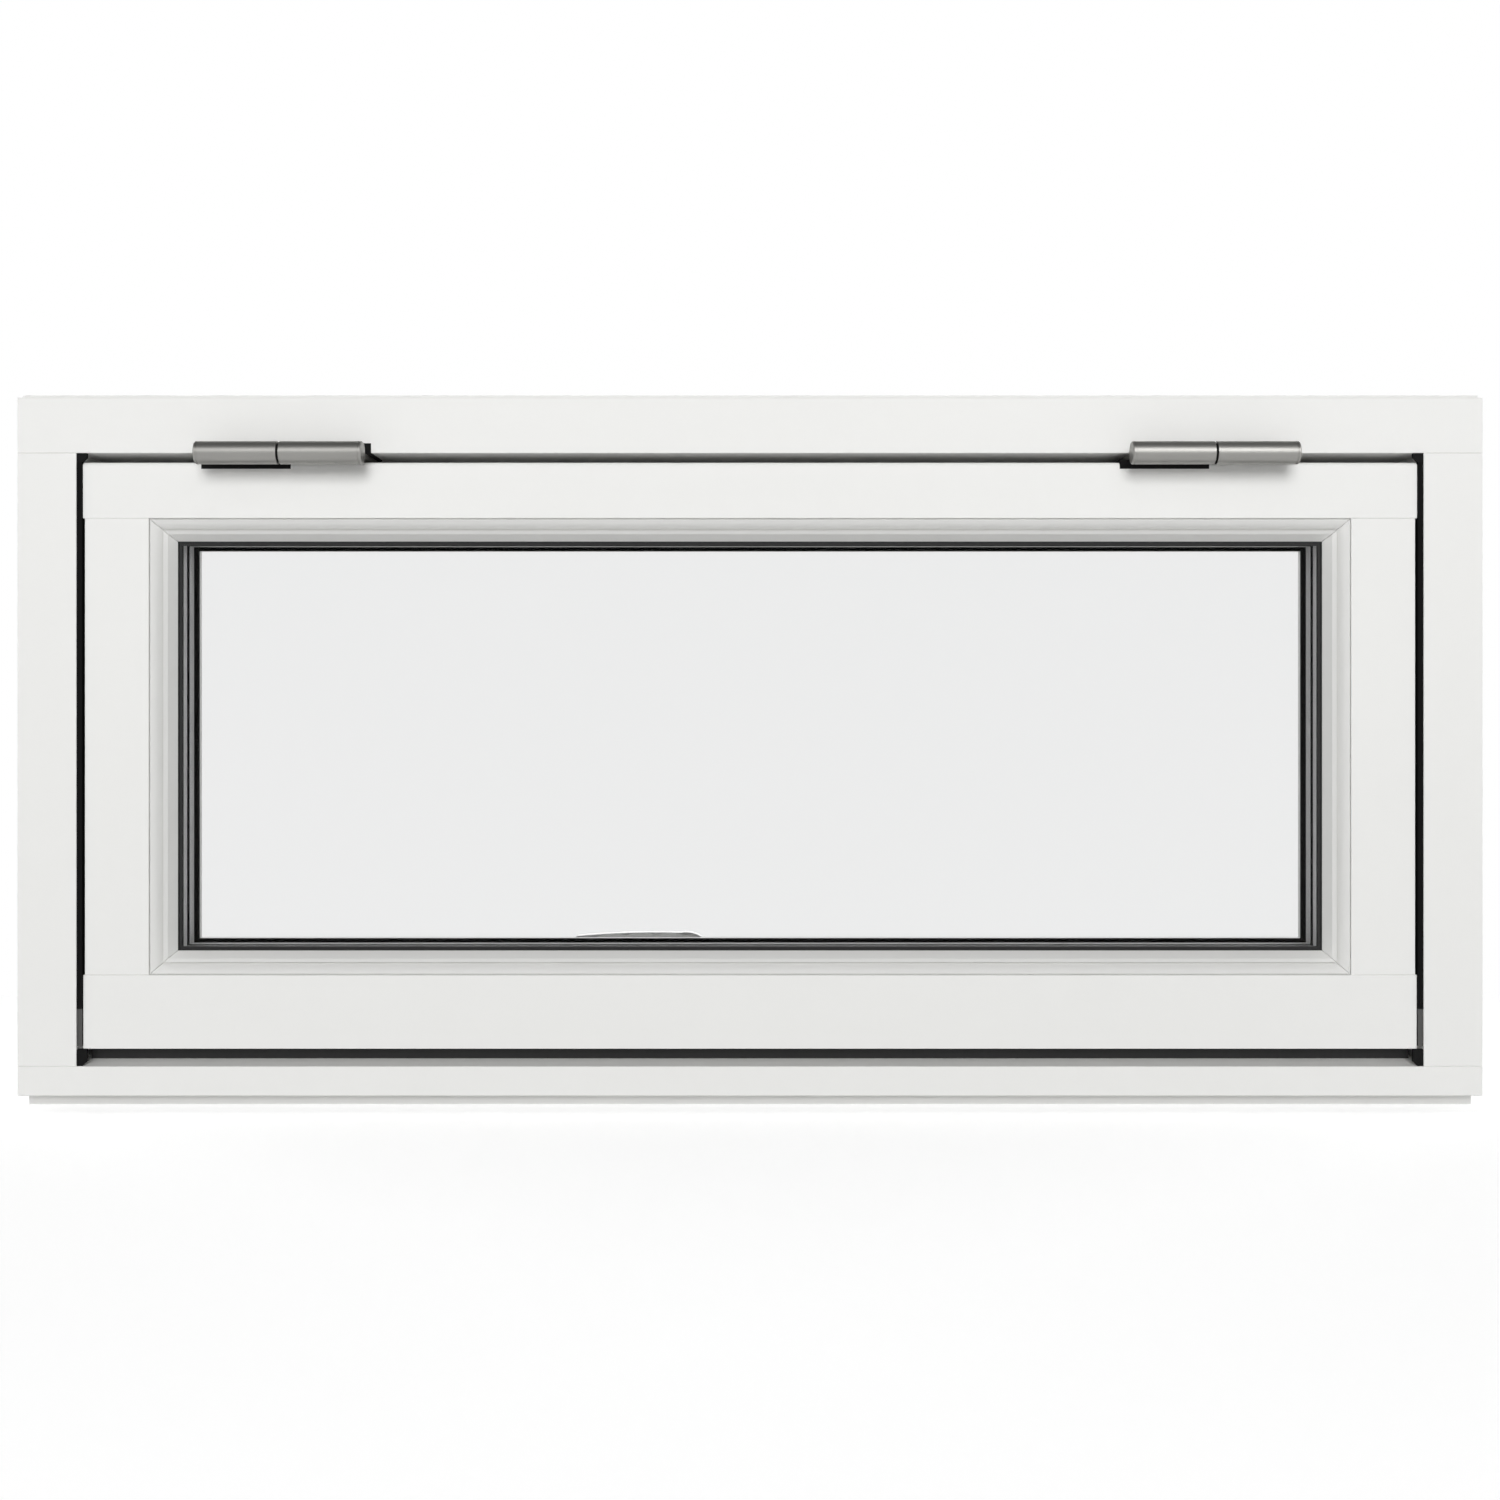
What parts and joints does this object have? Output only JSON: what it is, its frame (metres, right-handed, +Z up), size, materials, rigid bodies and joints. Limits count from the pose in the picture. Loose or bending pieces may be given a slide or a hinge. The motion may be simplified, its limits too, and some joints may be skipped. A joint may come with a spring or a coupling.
{
  "type": "top hung awning window",
  "caption": "White painted timber top hung window with its sash closed, outside barrel hinges, moulded glazing beads, an insulating glass unit and an inside lever handle.",
  "frame": {"origin": "middle of the sill's underside, half way through the frame's depth, on the surface it stands on", "axes": "+X to the right as seen from outside, +Y from outside into the building, +Z up"},
  "size_m": [0.98, 0.1426, 0.48],
  "materials": {
    "painted_wood": "satin white paint",
    "glass": "clear float glass",
    "spacer_metal": "matt grey",
    "black_rubber": "matt black",
    "black_plastic": "matt black",
    "hinge_steel": "brushed zinc",
    "keep_metal": "grey zinc",
    "handle_metal": "satin grey"
  },
  "bodies": {
    "root": {"corner_block_bottom_left": "black_plastic", "corner_block_bottom_right": "black_plastic", "corner_block_top_left": "black_plastic", "corner_block_top_right": "black_plastic", "frame_head": "painted_wood", "frame_jamb_left": "painted_wood", "frame_jamb_right": "painted_wood", "frame_sill": "painted_wood", "glazing_bead_bottom": "painted_wood", "glazing_bead_left": "painted_wood", "glazing_bead_right": "painted_wood", "glazing_bead_top": "painted_wood", "handle_lever": "handle_metal", "handle_rosette": "handle_metal", "hinge_left_frame_leaf": "hinge_steel", "hinge_left_frame_packer": "black_plastic", "hinge_left_pin": "hinge_steel", "hinge_left_sash_leaf": "hinge_steel", "hinge_left_sash_packer": "black_plastic", "hinge_left_washer": "black_plastic", "hinge_right_frame_leaf": "hinge_steel", "hinge_right_frame_packer": "black_plastic", "hinge_right_pin": "hinge_steel", "hinge_right_sash_leaf": "hinge_steel", "hinge_right_sash_packer": "black_plastic", "hinge_right_washer": "black_plastic", "inner_gasket": "black_rubber", "inner_pane": "glass", "inner_spacer": "spacer_metal", "keep_left": "keep_metal", "keep_right": "keep_metal", "middle_pane": "glass", "outer_gasket": "black_rubber", "outer_pane": "glass", "outer_spacer": "spacer_metal", "sash_bottom_rail": "painted_wood", "sash_stile_left": "painted_wood", "sash_stile_right": "painted_wood", "sash_top_rail": "painted_wood", "side_seal_left": "black_rubber", "side_seal_right": "black_rubber", "sill_seal": "black_rubber", "stop_gasket": "black_rubber"}
  },
  "joints": []
}
